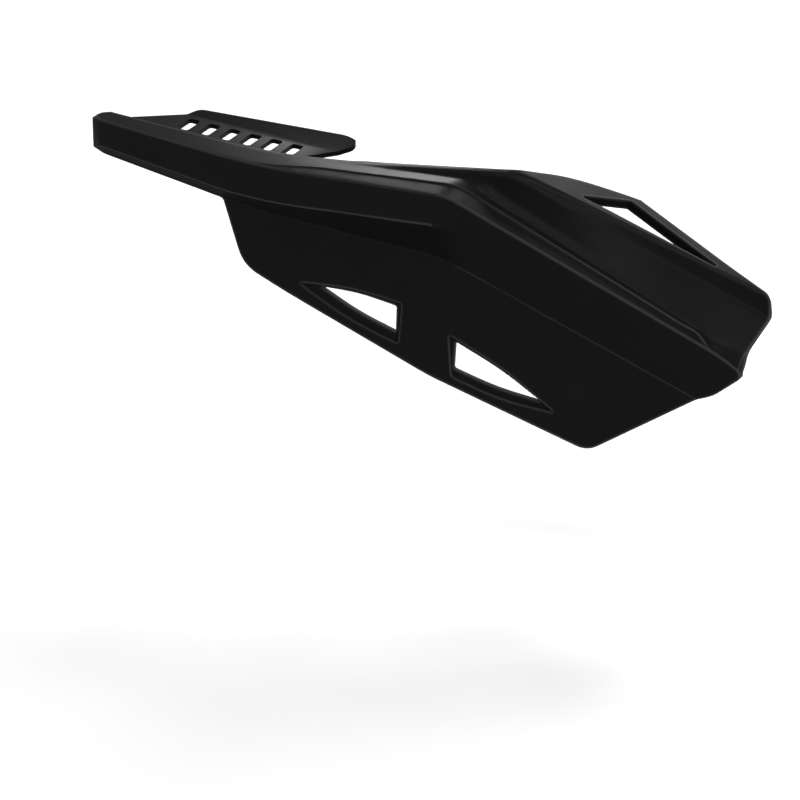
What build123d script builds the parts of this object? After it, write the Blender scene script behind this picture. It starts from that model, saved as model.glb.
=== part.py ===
"""Motorcycle hand guard: one moulded plastic shell.

A hollow beam runs across the front. Behind its inner half lies the slotted flange that is screwed
to the handlebar mount, below it hangs the folded shield, and over its outer half rises the hood.

Frame in millimetres: +X runs outboard along the beam, +Y to the rear (the rider's side), +Z up.
The origin is the middle of the slot row, on the underside of the flange.
"""
from build123d import *
import os
from math import hypot, radians, tan

os.makedirs("parts", exist_ok=True)

# Walls of the moulding and of its flange, and the reach of the cutting shapes beyond them
wall = 3.0
flange_wall = 2.0
far_away = 300.0

# Stations of the beam along X: inner end, bend, elbow, outer end
bend_x = 17.5
arm_length = 82.3
middle_length = 88.0
outer_length = 119.5
bend_blend = 22.0
elbow_blend = 5.0
arm_x = bend_x - arm_length
elbow_x = bend_x + middle_length
tip_x = elbow_x + outer_length

# Nose, the front edge of the beam: (y, z) at the four stations, and its drop towards the outer end
nose_arm = (-15.8, 3.0)
nose_bend = (-21.0, 2.2)
nose_elbow = (-15.3, 6.6)
nose_tip = (14.5, -53.9)
nose_drop = 2.0
nose_drop_run = 18.0

# Groove behind the nose: (back, up) of its foot and of the tread's front edge at the four stations
foot_offsets = ((3.6, 0.3), (3.6, 0.3), (8.6, 0.8), (0.8, 0.2))
front_offsets = ((3.9, 0.8), (3.9, 0.8), (8.9, 1.5), (2.0, 2.4))
groove_rise = 30.0
groove_fall = 6.0
groove_end = 13.0
foot_trace = (0.4, 0.15)
front_trace = (0.8, 0.3)

# The other fold lines, measured from the nose: (outboard, back, up) at the four stations
rear_offsets = ((0, 7.2, 0.2), (0, 10.4, 0.6), (7.7, 16.9, 1.7), (0, 8.0, 1.8))
lip_offsets = ((0, 0, -12.0), (0, 0, -16.3), (-3.5, 0.3, -14.4), (0, 0.5, -16.2))
crease_offsets = ((0, 5.0, -17.0), (0, 5.0, -22.3), (-6.5, 7.8, -32.2), (0, 8.0, -30.5))

# Lower face of the outer half: share of the way from nose to crease where the lip fades out
lip_share = 0.43
lip_fade_start = -5.5
lip_fade = 12.0

# Shallow valley along the tread of the outer half
valley_share = 0.58
valley_depth = 2.0
valley_start = 0.5
valley_rise = 16.0
valley_end = 20.0
valley_fall = 16.0

# Hood over the outer half: it grows out of the tread's rear edge from hood_start on
hood_start = 44.5
hood_blend = 12.0
ledge_elbow = (18.8, 20.7, 5.1)
ledge_tip = (0, 24.5, 12.0)
ridge_elbow = (19.6, 23.8, 6.0)
ridge_tip = (0, 27.0, 20.2)
plate_depth = 27.0
rear_step_arm = 0.4
rear_step_bend = 0.6
rear_step_hood = 1.2

# Rear edge of the hood seen from above: (X from the elbow, distance behind the ridge) up to its crown,
# then (X before the outer end, distance behind the ridge)
hood_root = (15.0, 0.8)
hood_neck = (22.8, 3.9)
hood_flank = (30.3, 10.0)
hood_shoulder = (44.4, 17.0)
hood_crown = (58.2, 21.2)
hood_fall = (19.7, 6.3)
hood_end = (-7.0, -2.2)

# Opening in the hood's top plate: (along the plate from its start, distance behind the ridge), and its
# outer corner from the plate's end
vent_inner = (24.2, 4.0)
vent_low = (37.8, 4.0)
vent_rear = (40.3, 17.6)
vent_outer = (21.0, 1.4)
vent_radius = 0.8
vent_rim = 2.0
vent_rim_depth = 1.6

# Folded shield: direction of the fold, allowance of the uncut sheet, and the edge left below the arm
fold_run = (-0.04, -0.09, -1.0)
hem_allowance = 9.6
hem_stub = 0.6

# Lower outline seen from the front: places along X, drops below the crease
shield_start = 17.0
shield_corner = 6.2
shield_corner_drop = 26.5
fold_drop = 54.4
fold_setback = 3.5
outer_corner = 63.2
outer_corner_drop = 47.9
shield_start_round = 1.5
shield_corner_round = 7.0
fold_round = 12.0
outer_corner_round = 5.0

# Inner end of the beam seen from above: turned front corner, then a slanted end
arm_turn = 5.7
arm_turn_depth = 2.5
arm_slant = 7.5
arm_depth = 9.5
arm_turn_round = 2.0

# Ends of the beam seen from the front
arm_top_round = 5.5
arm_foot_round = 6.0
crease_end = 21.5
tip_heel = 14.0
tip_heel_rise = 3.6
tip_toe_drop = 3.0
tip_toe = 1.4
tip_waist = 3.0
tip_ledge = 0.5
tip_top = 1.5
tip_shoulder = 12.0
tip_heel_round = 4.0
tip_toe_round = 2.0
tip_shoulder_round = 9.0

# Windows in the shield: (along the crease from the fold, down from the crease)
window_in_top = (-17.0, 26.6)
window_in_bottom = (-16.2, 37.8)
window_in_tip = (-51.2, 26.8)
window_out_top = (21.8, 30.4)
window_out_bottom = (26.3, 41.4)
window_out_tip = (64.0, 35.2)
window_bow = 1.5
window_radius = 1.0
side_round = 12.0

# Shallow recess round each window
recess_in_top = (-14.4, 24.4)
recess_in_bottom = (-14.2, 42.5)
recess_in_tip = (-61.0, 27.2)
recess_out_top = (17.8, 28.6)
recess_out_bottom = (27.0, 44.8)
recess_out_tip = (71.0, 36.3)
recess_bow = 2.4
recess_depth = 1.2
recess_radius = 1.5
recess_slope = 0.25

# Flange and its raised rear wing: outline in plan
flange_root_y = -12.5
flange_heel = (-54.5, -9.0)
flange_crease = (-31.0, 8.4)
wing_tilt = 12.0
wing_inner = (-28.0, 13.4)
wing_shoulder = (40.0, 19.15)
wing_outer = (45.6, 17.4)
wing_waist = (46.4, 13.4)
flange_neck = (29.0, -7.5)
wing_inner_round = 3.5
wing_shoulder_round = 3.0
wing_outer_round = 3.0
wing_waist_round = 3.0
flange_round = 1.0

# Row of slots across the flange
slot_count = 6
slot_pitch = 10.0
slot_width = 5.4
slot_length = 10.6
slot_radius = 1.2

# Rounding of the section's corners
nose_round = 0.8
groove_round = 0.3
tread_round = 0.8
valley_round = 1.5
ledge_round = 1.2
ridge_round = 1.5
lip_round = 0.8
crease_round = 1.0
inside_round = 0.8
round_share = 0.45


def smooth(share):
    """Ease from 0 to 1 with level ends."""
    t = min(max(share, 0.0), 1.0)
    return t * t * (3 - 2 * t)


def fold_line(keys, blends):
    """Straight runs through the (x, y, z) keys, each bend eased over its blend half-length."""
    def at(x):
        place = 0
        while place < len(keys) - 2 and x > keys[place + 1][0]:
            place += 1
        a, b = keys[place], keys[place + 1]
        point = [a[k] + (b[k] - a[k]) * (x - a[0]) / (b[0] - a[0]) for k in (1, 2)]
        for i, half in enumerate(blends):
            p, q, r = keys[i:i + 3]
            t = x - q[0]
            if abs(t) < half:
                for k in (1, 2):
                    before = (q[k] - p[k]) / (q[0] - p[0])
                    after = (r[k] - q[k]) / (r[0] - q[0])
                    point[k - 1] = q[k] + before * t + (after - before) * (t + half) ** 2 / (4 * half)
        return tuple(point)
    return at


station_x = (arm_x, bend_x, elbow_x, tip_x)
nose_keys = [(x, *place) for x, place in zip(station_x, (nose_arm, nose_bend, nose_elbow, nose_tip))]
beam_blends = (bend_blend, elbow_blend)
nose_run = fold_line(nose_keys, beam_blends)


def nose(x):
    """Front edge of the beam: it bends down towards the outer end."""
    y, z = nose_run(x)
    t = max((x - tip_x + nose_drop_run) / nose_drop_run, 0.0)
    return (y, z - nose_drop * t * t)


def beside_groove(offsets, trace):
    """Line along the groove: it leaves the nose at the bend and comes back to it before the outer end."""
    steps = fold_line([(x, *offset) for x, offset in zip(station_x, offsets)], beam_blends)

    def at(x):
        rise = smooth((x - bend_x) / groove_rise)
        fall = smooth((tip_x - groove_end - x) / groove_fall)
        return tuple(n + t + rise * fall * (step - t) for n, step, t in zip(nose(x), steps(x), trace))
    return at


def from_nose(offsets):
    """Keys of a fold line given by its offsets from the nose."""
    return [tuple(n + o for n, o in zip(key, offset)) for key, offset in zip(nose_keys, offsets)]


rear_keys = from_nose(rear_offsets)
crease_keys = from_nose(crease_offsets)
foot = beside_groove(foot_offsets, foot_trace)
front = beside_groove(front_offsets, front_trace)
rear = fold_line(rear_keys, beam_blends)
lip_run = fold_line(from_nose(lip_offsets), beam_blends)
crease = fold_line(crease_keys, beam_blends)

# The hood's lines leave the tread's rear edge side by side at its start
hood_x = bend_x + hood_start
rear_at_hood = (hood_x, *rear(hood_x))


def hood_line(place, elbow_key, tip_key):
    """A line of the hood: the place-th one behind the tread's rear edge along the inner half."""
    steps = (rear_step_arm, rear_step_bend, rear_step_hood)
    starts = zip((rear_keys[0], rear_keys[1], rear_at_hood), steps)
    keys = [(k[0], k[1] + place * step, k[2]) for k, step in starts]
    return fold_line(keys + [elbow_key, tip_key], (bend_blend, hood_blend, elbow_blend))


ledge_key = tuple(n + o for n, o in zip(nose_keys[2], ledge_elbow))
ledge_end = tuple(n + o for n, o in zip(nose_keys[3], ledge_tip))
ridge_key = tuple(n + o for n, o in zip(nose_keys[2], ridge_elbow))
ridge_end = tuple(n + o for n, o in zip(nose_keys[3], ridge_tip))
plate_key = (ridge_key[0], ridge_key[1] + plate_depth, ridge_key[2])
plate_end = (ridge_end[0], ridge_end[1] + plate_depth, ridge_end[2])
ledge = hood_line(1, ledge_key, ledge_end)
ridge = hood_line(2, ridge_key, ridge_end)
plate = hood_line(3, plate_key, plate_end)

# The shield's two halves are flat: the hem is the crease moved along the fold, within each half
fold = Vector(*fold_run)
hem_reach = max(fold_drop, outer_corner_drop) + hem_allowance


def hem_key(key, start, end):
    """Hem point below a crease key, in the flat half that runs from start to end."""
    run = (Vector(*end) - Vector(*start)) / (end[0] - start[0])
    return tuple(Vector(*key) + (fold - run * fold.X) * hem_reach)


hem_elbow = tuple(Vector(*crease_keys[2]) + fold * hem_reach)
hem_bend = hem_key(crease_keys[1], crease_keys[1], crease_keys[2])
hem_arm = hem_key(crease_keys[0], crease_keys[0], crease_keys[1])
hem_tip = hem_key(crease_keys[3], crease_keys[2], crease_keys[3])
hem = fold_line([hem_arm, hem_bend, hem_elbow, hem_tip], beam_blends)


def mix(a, b, share):
    """Point at a share of the way from a to b."""
    return tuple(p + (q - p) * share for p, q in zip(a, b))


def lip(x):
    """Lower front edge: it fades into the flat lower face of the outer half."""
    fade = smooth((x - elbow_x - lip_fade_start) / lip_fade)
    return mix(lip_run(x), mix(nose(x), crease(x), lip_share), fade)


def valley(x):
    """Line along the tread, sunk over the outer half."""
    rise = smooth((x - elbow_x - valley_start) / valley_rise)
    fall = smooth((tip_x - x - valley_end + valley_fall) / valley_fall)
    y, z = mix(front(x), rear(x), valley_share)
    return (y, z - valley_depth * rise * fall)


def crossing(a, b, c, d):
    """Point where the line through a and b meets the line through c and d."""
    (ux, uy), (vx, vy) = (b[0] - a[0], b[1] - a[1]), (d[0] - c[0], d[1] - c[1])
    t = ((c[0] - a[0]) * vy - (c[1] - a[1]) * vx) / (ux * vy - uy * vx)
    return (a[0] + t * ux, a[1] + t * uy)


def inset(points, distance):
    """The open outline moved to its left by the distance, with mitred corners."""
    normals = []
    for a, b in zip(points, points[1:]):
        length = hypot(b[0] - a[0], b[1] - a[1])
        normals.append(((a[1] - b[1]) / length, (b[0] - a[0]) / length))
    moved = []
    for point, n, m in zip(points, normals[:1] + normals, normals + normals[-1:]):
        scale = distance / (1 + n[0] * m[0] + n[1] * m[1])
        moved.append((point[0] + scale * (n[0] + m[0]), point[1] + scale * (n[1] + m[1])))
    return moved


def draw_rounded(points, rounds):
    """Draw the open outline with its corners rounded by parabolas."""
    last = points[0]
    for i, size in enumerate(rounds, start=1):
        a, p, b = points[i - 1:i + 2]
        to_a, to_b = hypot(a[0] - p[0], a[1] - p[1]), hypot(b[0] - p[0], b[1] - p[1])
        size = min(size, round_share * to_a, round_share * to_b)
        t1, t2 = mix(p, a, size / to_a), mix(p, b, size / to_b)
        Line(last, t1)
        Bezier(t1, p, t2)
        last = t2
    Line(last, points[-1])


def draw_section(x):
    """Closed section of the shell at x: outer outline, hem, inner outline, rear edge."""
    outer = [plate(x), ridge(x), ledge(x), rear(x), valley(x), front(x), foot(x), nose(x), lip(x),
             crease(x), hem(x)]
    rounds = [ridge_round, ledge_round, tread_round, valley_round, groove_round, groove_round, nose_round,
              lip_round, crease_round]
    draw_rounded(outer, rounds)
    corner = crossing(valley(x), front(x), nose(x), lip(x))
    inner = inset(outer[:5] + [corner] + outer[8:], wall)
    strip = hypot(front(x)[0] - nose(x)[0], front(x)[1] - nose(x)[1])
    inner_rounds = [inside_round] * 4 + [inside_round + strip] + [inside_round] * 2
    Line(outer[-1], inner[-1])
    draw_rounded(inner[::-1], inner_rounds[::-1])
    Line(inner[0], outer[0])


def spread(start, end, count):
    """Stations from start up to, but without, end."""
    return [start + (end - start) * i / count for i in range(count)]


# Stations of the loft, closer together where the beam turns and at its outer end
end_allowance = 4.0
arm_steps, bend_steps, middle_steps, elbow_steps, outer_steps, tip_steps = 8, 6, 8, 9, 12, 5
loft_start, loft_end = arm_x - end_allowance, tip_x + end_allowance
bend_start, bend_end = bend_x - bend_blend, bend_x + bend_blend
elbow_start = crease_keys[2][0] - elbow_blend
elbow_end = max(ledge_key[0], ridge_key[0]) + elbow_blend
tip_start = tip_x - groove_end - groove_fall
stations = spread(loft_start, bend_start, arm_steps) + spread(bend_start, bend_end, bend_steps)
stations += spread(bend_end, elbow_start, middle_steps) + spread(elbow_start, elbow_end, elbow_steps)
stations += spread(elbow_end, tip_start, outer_steps) + spread(tip_start, loft_end, tip_steps) + [loft_end]

# Flange with its raised wing and the row of slots
wing_reach = 2 * (wing_shoulder[1] - flange_crease[1])
wing_rise = wing_reach * tan(radians(wing_tilt))
flange_lower = [(flange_root_y, 0.0), (flange_crease[1], 0.0), (flange_crease[1] + wing_reach, wing_rise)]
flange_outline = [(flange_heel[0], flange_root_y), flange_heel, flange_crease, wing_inner, wing_shoulder,
                  wing_outer, wing_waist, flange_neck, (flange_neck[0], flange_root_y)]
flange_rounds = [flange_round, flange_round, wing_inner_round, wing_shoulder_round, wing_outer_round,
                 wing_waist_round, flange_round]

with BuildPart() as flange:
    with BuildSketch(Plane.YZ.offset(flange_heel[0])):
        with BuildLine():
            Polyline(*flange_lower, *inset(flange_lower, flange_wall)[::-1], close=True)
        make_face()
    extrude(amount=wing_waist[0] - flange_heel[0])
    with BuildSketch():
        with BuildLine():
            draw_rounded(flange_outline, flange_rounds)
            Line(flange_outline[-1], flange_outline[0])
        make_face()
    extrude(amount=4 * flange_wall + wing_rise, mode=Mode.INTERSECT)
    with BuildSketch():
        with GridLocations(slot_pitch, 0, slot_count, 1):
            RectangleRounded(slot_width, slot_length, slot_radius)
    extrude(amount=2 * flange_wall, both=True, mode=Mode.SUBTRACT)

# Flat halves of the shield and the hood's flat top plate, as sketch planes
crease_bend, crease_elbow, crease_tip = (Vector(*key) for key in crease_keys[1:])
inner_run, outer_run = crease_elbow - crease_bend, crease_tip - crease_elbow
inner_face = Plane(crease_elbow, x_dir=inner_run, z_dir=fold.cross(inner_run))
outer_face = Plane(crease_elbow, x_dir=outer_run, z_dir=fold.cross(outer_run))
plate_run = Vector(ridge_end[0] - ridge_key[0], 0, ridge_end[2] - ridge_key[2])
plate_face = Plane(ridge_key, x_dir=plate_run, z_dir=plate_run.cross(Vector(0, 1, 0)))
ridge_rake = (ridge_end[1] - ridge_key[1]) / plate_run.length
vent_corners = (vent_inner, vent_low, (plate_run.length - vent_outer[0], vent_outer[1]), vent_rear)
vent_outline = [(along, behind + ridge_rake * along) for along, behind in vent_corners]

# Outline seen from the front, from the top of the inner end round below to the top of the outer end
arm_top, arm_foot = front(arm_x)[1], crease(arm_x)[1] - hem_stub
start_x, corner_x, corner_out_x = bend_x - shield_start, bend_x - shield_corner, tip_x - outer_corner
end_x, heel_x, shoulder_x = tip_x - crease_end, tip_x - tip_heel, tip_x - tip_shoulder
front_outline = [(arm_x + 4 * arm_top_round, arm_top + hem_stub), (arm_x, arm_top), (arm_x, arm_foot),
                 (start_x, crease(start_x)[1] - hem_stub),
                 (corner_x, crease(corner_x)[1] - shield_corner_drop),
                 (elbow_x - fold_setback, crease_keys[2][2] - fold_drop),
                 (corner_out_x, crease(corner_out_x)[1] - outer_corner_drop),
                 (end_x, crease(end_x)[1]), (heel_x, crease(end_x)[1] + tip_heel_rise),
                 (tip_x - tip_toe, nose(tip_x)[1] - tip_toe_drop), (tip_x - tip_toe, nose(tip_x)[1]),
                 (tip_x - tip_waist, rear(tip_x)[1]), (tip_x - tip_ledge, ledge(tip_x)[1]),
                 (tip_x - tip_top, ridge(tip_x)[1] + hem_stub),
                 (shoulder_x, ridge(shoulder_x)[1] + 2 * hem_stub)]
front_rounds = [arm_top_round, arm_foot_round, shield_start_round, shield_corner_round, fold_round,
                outer_corner_round, tip_toe_round, tip_heel_round, tip_toe_round, tip_toe_round,
                tip_toe_round, tip_toe_round, tip_shoulder_round]
hood_flare = [(elbow_x + x, ridge(elbow_x + x)[0] + behind)
              for x, behind in (hood_root, hood_neck, hood_flank, hood_shoulder, hood_crown)]
hood_back = [(tip_x - x, ridge(tip_x - x)[0] + behind) for x, behind in (hood_fall, hood_end)]
hood_lead = hood_x - elbow_blend


def draw_wedge(top, bottom, point, bow, rounding):
    """Closed wedge on a shield half: blunt end top and bottom, point, both long sides bowed outward."""
    high, low, far = ((along, -down) for along, down in (top, bottom, point))
    bow_high, bow_low, middle = mix(high, far, 0.5), mix(low, far, 0.5), mix(high, low, 0.5)
    upper, lower = (bow_high[0], bow_high[1] + bow), (bow_low[0], bow_low[1] - bow)
    draw_rounded([middle, high, upper, far, lower, low, middle],
                 [rounding, side_round, rounding, side_round, rounding])


# Inner end seen from above: the turned corner starts in front of the beam, the slant ends behind it
turn_start = (arm_x + 2 * arm_turn, nose_arm[0] - arm_turn_depth)
turn_end = (arm_x, nose_arm[0] + arm_turn_depth)
slant_end = (arm_x + arm_slant, nose_arm[0] + arm_depth)
arm_rim = inset([plate(arm_x), nose(arm_x), lip(arm_x), crease(arm_x)], wall / 2)

# Slanted wall that closes the inner end
with BuildPart() as end_wall:
    with BuildSketch(Plane.YZ.offset(arm_x - end_allowance)):
        with BuildLine():
            Polyline(*arm_rim, close=True)
        make_face()
    extrude(amount=2 * end_allowance + arm_slant)
    with BuildSketch():
        with BuildLine():
            slant = (slant_end[0] - turn_end[0], slant_end[1] - turn_end[1])
            wall_front = (turn_end[0] - slant[0], turn_end[1] - slant[1])
            Polyline(wall_front, slant_end, (slant_end[0] + wall, slant_end[1]),
                     (wall_front[0] + wall, wall_front[1]), close=True)
        make_face()
    extrude(amount=far_away, both=True, mode=Mode.INTERSECT)

with BuildPart() as guard:
    for station in stations:
        with BuildSketch(Plane.YZ.offset(station)):
            with BuildLine():
                draw_section(station)
            make_face()
    loft()

    add(end_wall.part, clean=False)

    # Rim under the opening in the hood
    with BuildSketch(plate_face.offset(-wall - vent_rim_depth)):
        with BuildLine():
            Polyline(*vent_outline, close=True)
        make_face()
        offset(amount=vent_rim, kind=Kind.ARC)
    extrude(amount=vent_rim_depth + wall / 2, clean=False)

    add(flange.part, clean=False)

    # Opening through the hood's top plate
    with BuildSketch(plate_face):
        with BuildLine():
            Polyline(*vent_outline, close=True)
        make_face()
        fillet(vertices(), vent_radius)
    extrude(amount=3 * wall, both=True, clean=False, mode=Mode.SUBTRACT)

    # Rear edge of the hood
    with BuildSketch():
        with BuildLine():
            Line((hood_lead, plate(hood_lead)[0] + hem_stub), hood_flare[0])
            Spline(*hood_flare)
            Polyline(hood_flare[-1], *hood_back, (hood_back[-1][0], far_away), (hood_lead, far_away),
                     (hood_lead, plate(hood_lead)[0] + hem_stub))
        make_face()
    extrude(amount=far_away, both=True, clean=False, mode=Mode.SUBTRACT)

    # Outline seen from the front
    with BuildSketch(Plane.XZ):
        with BuildLine():
            draw_rounded(front_outline, front_rounds)
            Polyline(front_outline[-1], (shoulder_x, far_away), (tip_x + far_away, far_away),
                     (tip_x + far_away, -far_away), (arm_x - far_away, -far_away),
                     (arm_x - far_away, far_away), (front_outline[0][0], far_away), front_outline[0])
        make_face()
    extrude(amount=far_away, both=True, clean=False, mode=Mode.SUBTRACT)

    # Inner end seen from above
    with BuildSketch():
        with BuildLine():
            draw_rounded([turn_start, turn_end, slant_end], [arm_turn_round])
            Polyline(slant_end, (arm_x - far_away, slant_end[1]), (arm_x - far_away, turn_start[1]),
                     turn_start)
        make_face()
    extrude(amount=far_away, both=True, clean=False, mode=Mode.SUBTRACT)

    # Recess with sloping walls and window of each shield half
    for face, recess, window in (
            (inner_face, (recess_in_top, recess_in_bottom, recess_in_tip),
             (window_in_top, window_in_bottom, window_in_tip)),
            (outer_face, (recess_out_top, recess_out_bottom, recess_out_tip),
             (window_out_top, window_out_bottom, window_out_tip))):
        for level, share in ((-recess_depth, recess_slope), (recess_depth, -recess_slope)):
            with BuildSketch(face.offset(level)):
                with BuildLine():
                    corners = [mix(r, w, share) for r, w in zip(recess, window)]
                    draw_wedge(*corners, recess_bow, recess_radius)
                make_face()
        loft(ruled=True, clean=False, mode=Mode.SUBTRACT)
        with BuildSketch(face):
            with BuildLine():
                draw_wedge(*window, window_bow, window_radius)
            make_face()
        extrude(amount=3 * wall, both=True, clean=False, mode=Mode.SUBTRACT)

guard.part.label = "guard_shell"
export_step(guard.part, "parts/guard_shell.step")
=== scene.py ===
# %% [markdown]
# # A motorcycle hand guard in satin black plastic
#
# The guard is one plastic moulding that shields a rider's hand from wind and branches. Its shape
# comes from the CAD model, already in metres and in its own frame: X runs outboard along the beam,
# Y to the rear and Z up. This lesson gives it a smooth surface, a moulded finish, a pale studio
# and the camera of a catalogue picture.

import math

import bpy
import numpy as np
from mathutils import Matrix, Vector


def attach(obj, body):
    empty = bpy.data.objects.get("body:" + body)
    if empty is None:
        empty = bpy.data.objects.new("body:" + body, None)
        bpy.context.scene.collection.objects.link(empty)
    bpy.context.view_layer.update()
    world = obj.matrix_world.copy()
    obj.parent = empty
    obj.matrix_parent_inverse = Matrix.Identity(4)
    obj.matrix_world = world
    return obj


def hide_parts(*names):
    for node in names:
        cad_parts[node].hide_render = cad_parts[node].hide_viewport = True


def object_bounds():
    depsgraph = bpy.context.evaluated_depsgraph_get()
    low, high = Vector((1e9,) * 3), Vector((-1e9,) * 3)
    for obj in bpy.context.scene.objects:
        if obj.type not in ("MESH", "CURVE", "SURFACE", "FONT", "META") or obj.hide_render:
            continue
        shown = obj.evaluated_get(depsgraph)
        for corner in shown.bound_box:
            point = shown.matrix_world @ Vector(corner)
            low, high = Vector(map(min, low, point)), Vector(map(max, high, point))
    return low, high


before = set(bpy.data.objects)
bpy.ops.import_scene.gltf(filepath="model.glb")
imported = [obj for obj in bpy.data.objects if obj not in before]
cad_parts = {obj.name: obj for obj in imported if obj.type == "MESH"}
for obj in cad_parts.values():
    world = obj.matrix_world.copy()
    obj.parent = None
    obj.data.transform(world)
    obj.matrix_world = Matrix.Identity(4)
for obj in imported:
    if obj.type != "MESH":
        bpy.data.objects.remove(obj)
scene = bpy.context.scene
cad_low, cad_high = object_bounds()
guard_middle = (cad_low + cad_high) / 2
print("CAD box", [round(v, 4) for v in cad_low], [round(v, 4) for v in cad_high])

# %% [markdown]
# ## The moulded shell
#
# A CAD mesh arrives as loose triangles: every triangle owns its three corners, so light breaks at
# each of them. The shell could be shaded flat, but its long blends would then show as facets.
# Corners in the same place are welded here instead, so that neighbours can share their shading.

# %% Weld the shell
weld_step = 2e-6


def weld(source, name):
    """Welded copy of a triangle mesh: corners that round to the same grid point become one."""
    places = np.empty(len(source.vertices) * 3, np.float32)
    source.vertices.foreach_get("co", places)
    places = places.reshape(-1, 3).astype(np.float64)
    corners = np.empty(len(source.loops), np.int32)
    source.loops.foreach_get("vertex_index", corners)
    grid = np.round(places / weld_step).astype(np.int64)
    first, where = np.unique(grid, axis=0, return_index=True, return_inverse=True)[1:]
    triangles = where.reshape(-1)[corners].reshape(-1, 3)
    distinct = ((triangles[:, 0] != triangles[:, 1]) & (triangles[:, 1] != triangles[:, 2])
                & (triangles[:, 2] != triangles[:, 0]))
    welded = bpy.data.meshes.new(name)
    welded.from_pydata(places[first].tolist(), [], triangles[distinct].tolist())
    welded.validate()
    welded.update()
    return welded


shell_mesh = weld(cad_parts["guard_shell"].data, "moulded_shell")
shell = bpy.data.objects.new("moulded_shell", shell_mesh)
scene.collection.objects.link(shell)
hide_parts("guard_shell")
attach(shell, "root")
print("shell", len(shell_mesh.vertices), "points", len(shell_mesh.polygons), "triangles")

# %% [markdown]
# ## Flat faces, rounded folds
#
# On the real moulding the faces are flat and only the narrow folds between them are round. Plain
# smooth shading averages the two and makes every face look swollen. The Weighted Normal modifier
# lets the larger triangles rule, so that faces stay flat and the folds take up the turn. Edges
# that turn by more than the crisp angle, such as the rims of the windows, stay sharp.

# %% Shade faces flat and folds round
crisp_angle = math.radians(24)
shell_mesh.shade_smooth()
shell_mesh.set_sharp_from_angle(angle=crisp_angle)
flat_faces = shell.modifiers.new("flat_faces", "WEIGHTED_NORMAL")
flat_faces.mode = "FACE_AREA"
flat_faces.keep_sharp = True
print("shading by", flat_faces.mode)

# %% [markdown]
# ## Satin black plastic
#
# Injection moulded guards are black right through. One Principled shader carries the finish, and
# each of its sockets is fed by a small group of nodes. A helper keeps those groups short: it adds
# a node and sets the sockets that are named in the call.

# %% Start the plastic
plastic_ior, plastic_reflection = 1.5, 0.025
cloud_scale, cloud_detail = 55.0, 3.0

plastic = bpy.data.materials.new("satin_black_plastic")
plastic.use_nodes = True
plastic_tree = plastic.node_tree
shader = plastic_tree.nodes["Principled BSDF"]
shader.inputs["IOR"].default_value = plastic_ior
shader.inputs["Specular IOR Level"].default_value = plastic_reflection
link_plastic = plastic_tree.links.new


def add_node(tree, kind, settings=(), sockets=()):
    """New node of a kind, with its settings and then its input sockets filled in."""
    node = tree.nodes.new(kind)
    for name, value in dict(settings).items():
        setattr(node, name, value)
    for name, value in dict(sockets).items():
        node.inputs[name].default_value = value
    return node


place = add_node(plastic_tree, "ShaderNodeTexCoord")
cloud = add_node(plastic_tree, "ShaderNodeTexNoise",
                 sockets={"Scale": cloud_scale, "Detail": cloud_detail})
link_plastic(place.outputs["Object"], cloud.inputs["Vector"])
print("material", plastic.name)

# %% [markdown]
# ### Cloudy black with painted shade underneath
#
# The black is not quite even: soft clouds, about two centimetres across, make it a little lighter
# and darker. Faces that look down get painted shade: their black is made darker than the others,
# standing in for the shade under the beam, and their gloss duller. The way a face looks is its
# normal, and a Map Range turns the normal's height into a share of underside.

# %% Cloudy black and painted shade on undersides
deep_black, soft_black = (0.0068, 0.0068, 0.0071, 1), (0.0092, 0.0092, 0.0096, 1)
# The darker black for faces that look down is painted shade, not a colour of the plastic.
underside_painted_shade = (0.004, 0.004, 0.0042, 1)
underside_from, underside_to = -0.1, -0.4

tint = add_node(plastic_tree, "ShaderNodeMix", {"data_type": "RGBA"},
                {"A": deep_black, "B": soft_black})
link_plastic(cloud.outputs["Fac"], tint.inputs["Factor"])
facing = add_node(plastic_tree, "ShaderNodeNewGeometry")
facing_axes = add_node(plastic_tree, "ShaderNodeSeparateXYZ")
link_plastic(facing.outputs["Normal"], facing_axes.inputs["Vector"])
underside = add_node(plastic_tree, "ShaderNodeMapRange",
                     sockets={"From Min": underside_from, "From Max": underside_to})
link_plastic(facing_axes.outputs["Z"], underside.inputs["Value"])
# This mix paints the shade onto faces that look down.
shade = add_node(plastic_tree, "ShaderNodeMix", {"data_type": "RGBA"}, {"B": underside_painted_shade})
link_plastic(underside.outputs["Result"], shade.inputs["Factor"])
link_plastic(tint.outputs["Result"], shade.inputs["A"])
print("black from", deep_black[:3], "to", soft_black[:3], "undersides", underside_painted_shade[:3])

# %% [markdown]
# ### Painted highlights on raised edges
#
# Raised edges show as fine lighter lines where their rounding catches the lamps, and these
# highlights are painted into the colour. They could be painted by hand, but an Ambient Occlusion
# node that looks inwards finds them all, because just inside a raised edge the way out is short.
# The flange is left out, since its slots keep their dark rims.

# %% Painted highlights on raised edges
edge_reach, edge_samples = 0.0011, 12
edge_start, edge_full = 0.99, 0.85
flange_end, flange_front = 0.06, -0.0075


def calculate(operation, first, second, tree=plastic_tree):
    """Math node on two inputs, each of them an output of another node or a plain number."""
    node = add_node(tree, "ShaderNodeMath", {"operation": operation})
    for socket, value in zip(node.inputs, (first, second)):
        if isinstance(value, bpy.types.NodeSocket):
            tree.links.new(value, socket)
        else:
            socket.default_value = value
    return node.outputs["Value"]


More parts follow.
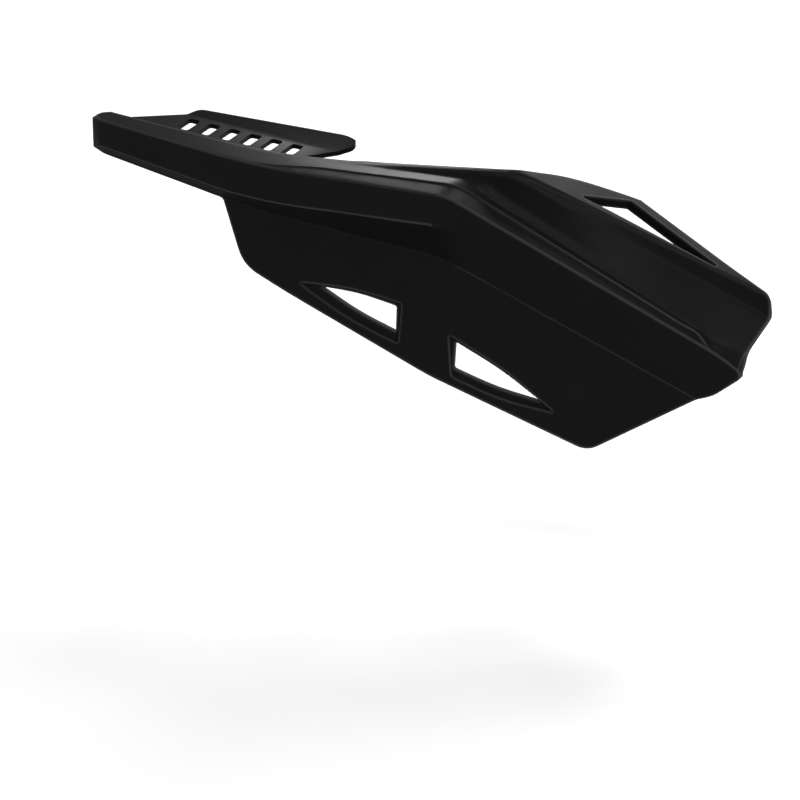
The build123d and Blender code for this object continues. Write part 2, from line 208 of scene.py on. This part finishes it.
edges = add_node(plastic_tree, "ShaderNodeAmbientOcclusion",
                 {"inside": True, "only_local": True, "samples": edge_samples},
                 {"Distance": edge_reach})
highlighted = add_node(plastic_tree, "ShaderNodeMapRange",
                sockets={"From Min": edge_start, "From Max": edge_full})
link_plastic(edges.outputs["AO"], highlighted.inputs["Value"])
place_axes = add_node(plastic_tree, "ShaderNodeSeparateXYZ")
link_plastic(place.outputs["Object"], place_axes.inputs["Vector"])
past_flange = calculate("GREATER_THAN", place_axes.outputs["X"], flange_end)
ahead_of_flange = calculate("LESS_THAN", place_axes.outputs["Y"], flange_front)
off_flange = calculate("MAXIMUM", past_flange, ahead_of_flange)
# The lighter colour on raised edges is painted highlight, not wear.
painted_edge_highlight = calculate("MULTIPLY", highlighted.outputs["Result"], off_flange)
print("worn edges within", edge_reach * 1000, "mm")

# %% [markdown]
# ### Painted highlight lines on the folds
#
# A fine light line runs along the lip under the beam's inner half and a fainter one along the crease
# of its outer half. Both are painted highlights: lighter colour standing in for the light that the
# rounded folds catch. Both are folds where the surface turns between looking ahead and looking down,
# so the normal's height runs quickly through one small range there, and a window on it draws the
# line. Each window is held to the front of the shell and to its own half of the beam.

# %% Painted highlight on the lip
lip_turn = (-0.38, -0.28, -0.09, -0.05)
lip_floor, lip_end = -0.016, 0.0995
front_most = -0.5


def between(value, start, full, fade, end):
    """Window on a value: it rises from 0 at start to 1 at full and falls from 1 at fade to 0 at end."""
    rising = add_node(plastic_tree, "ShaderNodeMapRange", sockets={"From Min": start, "From Max": full})
    falling = add_node(plastic_tree, "ShaderNodeMapRange", sockets={"From Min": end, "From Max": fade})
    link_plastic(value, rising.inputs["Value"])
    link_plastic(value, falling.inputs["Value"])
    return calculate("MULTIPLY", rising.outputs["Result"], falling.outputs["Result"])


on_front = calculate("LESS_THAN", facing_axes.outputs["Y"], front_most)
above_band = calculate("GREATER_THAN", place_axes.outputs["Z"], lip_floor)
before_elbow = calculate("LESS_THAN", place_axes.outputs["X"], lip_end)
on_lip = calculate("MULTIPLY", on_front, calculate("MULTIPLY", above_band, before_elbow))
# The lip line is a painted highlight along the fold.
lip_line = calculate("MULTIPLY", on_lip, between(facing_axes.outputs["Z"], *lip_turn))
print("lip line up to", lip_end, "m")

# %% Painted highlight on the crease
crease_turn = (-0.24, -0.17, -0.10, -0.05)
crease_start, crease_ceiling = 0.105, -0.026
crease_strength = 0.5
# This lighter grey is painted highlight, used for the lip and crease lines and the raised edges.
painted_highlight_grey = (0.036, 0.036, 0.038, 1)

past_elbow = calculate("GREATER_THAN", place_axes.outputs["X"], crease_start)
below_tread = calculate("LESS_THAN", place_axes.outputs["Z"], crease_ceiling)
on_crease = calculate("MULTIPLY", on_front, calculate("MULTIPLY", past_elbow, below_tread))
# The crease line is a fainter painted highlight along the fold.
crease_line = calculate("MULTIPLY", on_crease, between(facing_axes.outputs["Z"], *crease_turn))
faint_crease = calculate("MULTIPLY", crease_line, crease_strength)
painted_highlight_lines = calculate("MAXIMUM", lip_line, faint_crease)
colour = add_node(plastic_tree, "ShaderNodeMix", {"data_type": "RGBA"}, {"B": painted_highlight_grey})
link_plastic(calculate("MAXIMUM", painted_edge_highlight, painted_highlight_lines), colour.inputs["Factor"])
link_plastic(shade.outputs["Result"], colour.inputs["A"])
link_plastic(colour.outputs["Result"], shader.inputs["Base Color"])
print("rubbed colour", painted_highlight_grey[:3])

# %% [markdown]
# ### Gloss
#
# The plastic is satin: it mirrors lamps as soft patches. The clouds vary its roughness a little,
# and the share of underside makes faces that look down almost matt, so that they don't mirror the
# white floor.

# %% Gloss of the plastic
cloud_low, cloud_high = 0.3, 0.7
satin_least, satin_most, dull = 0.28, 0.34, 0.75

satin = add_node(plastic_tree, "ShaderNodeMapRange",
                 sockets={"From Min": cloud_low, "From Max": cloud_high,
                          "To Min": satin_least, "To Max": satin_most})
link_plastic(cloud.outputs["Fac"], satin.inputs["Value"])
finish = add_node(plastic_tree, "ShaderNodeMix", sockets={"B": dull})
link_plastic(underside.outputs["Result"], finish.inputs["Factor"])
link_plastic(satin.outputs["Result"], finish.inputs["A"])
link_plastic(finish.outputs["Result"], shader.inputs["Roughness"])
print("roughness", satin_least, "to", satin_most, "undersides", dull)

# %% [markdown]
# ### Grain
#
# The mould is etched with a fine grain of less than half a millimetre, which spreads the
# highlights. It is far too fine to model, so a noise texture tilts the shading through a Bump node.
# A Bevel node softens the shading of the sharp rims over a quarter of a millimetre.

# %% Grain of the plastic
rim_radius, rim_samples = 0.00025, 6
grain_detail = 2.0
grain_scale, grain_depth, grain_strength = 2600.0, 0.0002, 0.12

grain = add_node(plastic_tree, "ShaderNodeTexNoise",
                 sockets={"Scale": grain_scale, "Detail": grain_detail})
link_plastic(place.outputs["Object"], grain.inputs["Vector"])
soft_rim = add_node(plastic_tree, "ShaderNodeBevel", {"samples": rim_samples}, {"Radius": rim_radius})
relief = add_node(plastic_tree, "ShaderNodeBump",
                  sockets={"Strength": grain_strength, "Distance": grain_depth})
link_plastic(grain.outputs["Fac"], relief.inputs["Height"])
link_plastic(soft_rim.outputs["Normal"], relief.inputs["Normal"])
link_plastic(relief.outputs["Normal"], shader.inputs["Normal"])
shell_mesh.materials.clear()
shell_mesh.materials.append(plastic)
print("plastic has", len(plastic_tree.nodes), "nodes")

# %% [markdown]
# ## Camera
#
# The picture is taken with a long lens from the right, above and in front. The camera is found from
# where one known point of the guard, the middle of its slot row on top of the flange, falls in the
# picture, and from how large a metre is there.

# %% Place the camera
picture_side = 800
view_azimuth, view_elevation = math.radians(30), math.radians(28)
lens_mm, sensor_mm = 200.0, 36.0
pixels_per_metre = 2430.0
farthest_seen = 50
row_middle = Vector((0, 0, 0.002))
row_pixel = (240.0, 137.0)

focal_pixels = picture_side * lens_mm / sensor_mm
distance = focal_pixels / pixels_per_metre
back = Vector((math.sin(view_azimuth) * math.cos(view_elevation),
               -math.cos(view_azimuth) * math.cos(view_elevation), math.sin(view_elevation)))
right = Vector((math.cos(view_azimuth), math.sin(view_azimuth), 0))
up = back.cross(right)
aside = (row_pixel[0] - picture_side / 2) / focal_pixels
above = (picture_side / 2 - row_pixel[1]) / focal_pixels
camera_data = bpy.data.cameras.new("catalogue_camera")
camera_data.lens = lens_mm
camera_data.sensor_width = sensor_mm
camera_data.clip_end = farthest_seen
camera = bpy.data.objects.new("catalogue_camera", camera_data)
turn = Matrix((right, up, back)).transposed().to_4x4()
stand = row_middle + distance * (back - aside * right - above * up)
camera.matrix_world = Matrix.Translation(stand) @ turn
scene.collection.objects.link(camera)
scene.camera = camera
print("camera at", [round(v, 3) for v in camera.location])

# %% [markdown]
# ## Floor
#
# A catalogue picture is taken over a white sweep. A curved sweep would do, but a large flat square
# a little below the guard fills this picture, and the guard's shadow on it stays faint.

# %% Pale floor
floor_drop = 0.05
floor_half = 6.0
floor_height = cad_low[2] - floor_drop

floor_mesh = bpy.data.meshes.new("floor")
square = np.array([[-1, -1], [1, -1], [1, 1], [-1, 1]]) * floor_half
floor_mesh.from_pydata([(x, y, floor_height) for x, y in square.tolist()], [], [(0, 1, 2, 3)])
floor = bpy.data.objects.new("floor", floor_mesh)
scene.collection.objects.link(floor)
print("floor at", round(floor_height, 4))

# %% [markdown]
# ### Floor paint
#
# Lit paint alone stops just short of white. More lamps would spoil the guard's blacks, so a small
# glow is added instead, only for what the camera sees directly, in a reflection or through glass:
# it whitens the floor without lighting the guard.

# %% Floor paint
floor_colour = (0.9, 0.9, 0.9, 1)
floor_glow = 0.15
floor_paint = bpy.data.materials.new("pale_floor")
floor_paint.use_nodes = True
floor_tree = floor_paint.node_tree
floor_tree.nodes.clear()
link_floor = floor_tree.links.new

paint = add_node(floor_tree, "ShaderNodeBsdfDiffuse", sockets={"Color": floor_colour})
glow = add_node(floor_tree, "ShaderNodeEmission", sockets={"Color": (1, 1, 1, 1)})
ray = add_node(floor_tree, "ShaderNodeLightPath")
kinds = [ray.outputs[name] for name in ("Is Camera Ray", "Is Glossy Ray", "Is Transmission Ray")]
seen_or_mirrored = calculate("MAXIMUM", kinds[0], kinds[1], floor_tree)
seen_any_way = calculate("MAXIMUM", seen_or_mirrored, kinds[2], floor_tree)
link_floor(calculate("MULTIPLY", seen_any_way, floor_glow, floor_tree), glow.inputs["Strength"])
painted = add_node(floor_tree, "ShaderNodeAddShader")
link_floor(paint.outputs[0], painted.inputs[0])
link_floor(glow.outputs[0], painted.inputs[1])
floor_out = add_node(floor_tree, "ShaderNodeOutputMaterial")
link_floor(painted.outputs[0], floor_out.inputs["Surface"])
floor_mesh.materials.append(floor_paint)
print("floor paint", floor_colour[:3], "glow", floor_glow)

# %% [markdown]
# ## Light
#
# A black object shows its shape by what it mirrors, so each lamp stands where one group of faces
# mirrors it to the camera. The overhead and front lamps are for the hood's front slope, the hood
# lamp for its top plate, the wide rear lamp for the flange. The small elbow lamp stands close
# behind, so that the tread brightens towards the elbow. The front faces mirror only the floor, and
# weakly, so they stay dark, and an even white world fills the rest.

# %% Soft studio light
def soft_lamp(name, offset, size, power):
    """Rectangular area lamp at an offset from the guard's middle, aimed at it."""
    lamp_data = bpy.data.lights.new(name, "AREA")
    lamp_data.shape = "RECTANGLE"
    lamp_data.size, lamp_data.size_y = size
    lamp_data.energy = power
    lamp = bpy.data.objects.new(name, lamp_data)
    lamp.location = guard_middle + Vector(offset)
    lamp.rotation_euler = (-Vector(offset)).to_track_quat("-Z", "Y").to_euler()
    scene.collection.objects.link(lamp)


soft_lamp("overhead_lamp", offset=(0.84, 0.0, 1.80), size=(0.7, 0.7), power=13)
soft_lamp("hood_lamp", offset=(0.04, 1.55, 1.30), size=(0.55, 0.55), power=16)
soft_lamp("rear_lamp", offset=(-0.9, 1.32, 1.2), size=(1.4, 1.4), power=2)
soft_lamp("elbow_lamp", offset=(-0.186, 0.343, 0.208), size=(0.16, 0.08), power=0.8)
soft_lamp("front_lamp", offset=(1.05, -1.15, 1.50), size=(0.7, 0.7), power=13)

sky_strength = 0.3
world = bpy.data.worlds.new("studio")
scene.world = world
world.use_nodes = True
sky = world.node_tree.nodes["Background"]
sky.inputs["Color"].default_value = (1, 1, 1, 1)
sky.inputs["Strength"].default_value = sky_strength
scene.view_settings.view_transform = "Standard"
